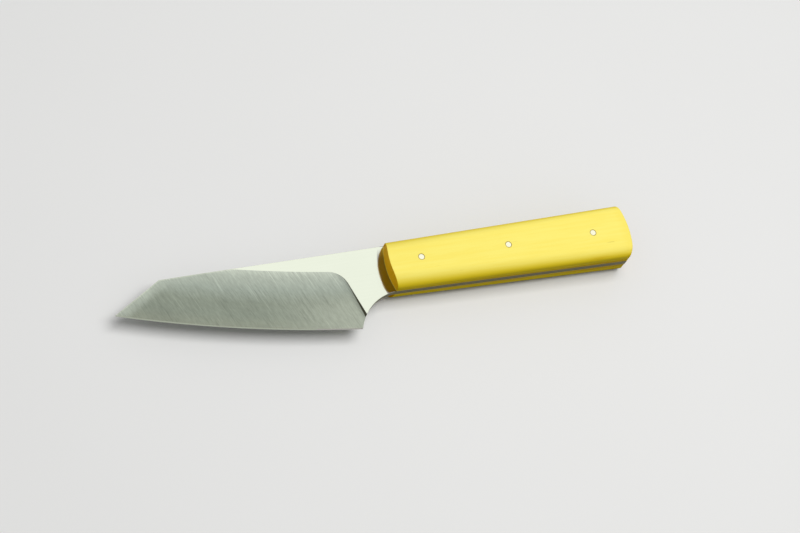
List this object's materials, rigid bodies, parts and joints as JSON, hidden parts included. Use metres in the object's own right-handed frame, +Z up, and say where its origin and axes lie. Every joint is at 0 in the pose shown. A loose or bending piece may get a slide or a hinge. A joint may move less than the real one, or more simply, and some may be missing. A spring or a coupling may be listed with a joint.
{
  "type": "kiritsuke knife",
  "caption": "Fixed-blade kitchen knife: flat ground steel blade with a clipped straight tip and deep heel, full tang, pinned and glued yellow wood scales.",
  "frame": {"origin": "middle of the knife's footprint box, on the surface that the right scale lies on", "axes": "+X along the knife from tip to butt, +Y from cutting edge to spine, +Z up through the left side"},
  "size_m": [0.2372, 0.0362, 0.0198],
  "materials": {
    "blade_steel": "polished flats and spine, bevels with a diagonal satin belt finish",
    "yellow_wood": "smooth oiled yellow wood with faint lengthwise grain",
    "pin_steel": "sanded flush with the wood",
    "epoxy": "cured clear epoxy, a hair line at the joints"
  },
  "bodies": {
    "root": {"blade": "blade_steel", "left_scale": "yellow_wood", "right_scale": "yellow_wood", "left_bond": "epoxy", "right_bond": "epoxy", "front_pin": "pin_steel", "middle_pin": "pin_steel", "rear_pin": "pin_steel", "front_pin_bond": "epoxy", "middle_pin_bond": "epoxy", "rear_pin_bond": "epoxy"}
  },
  "joints": []
}
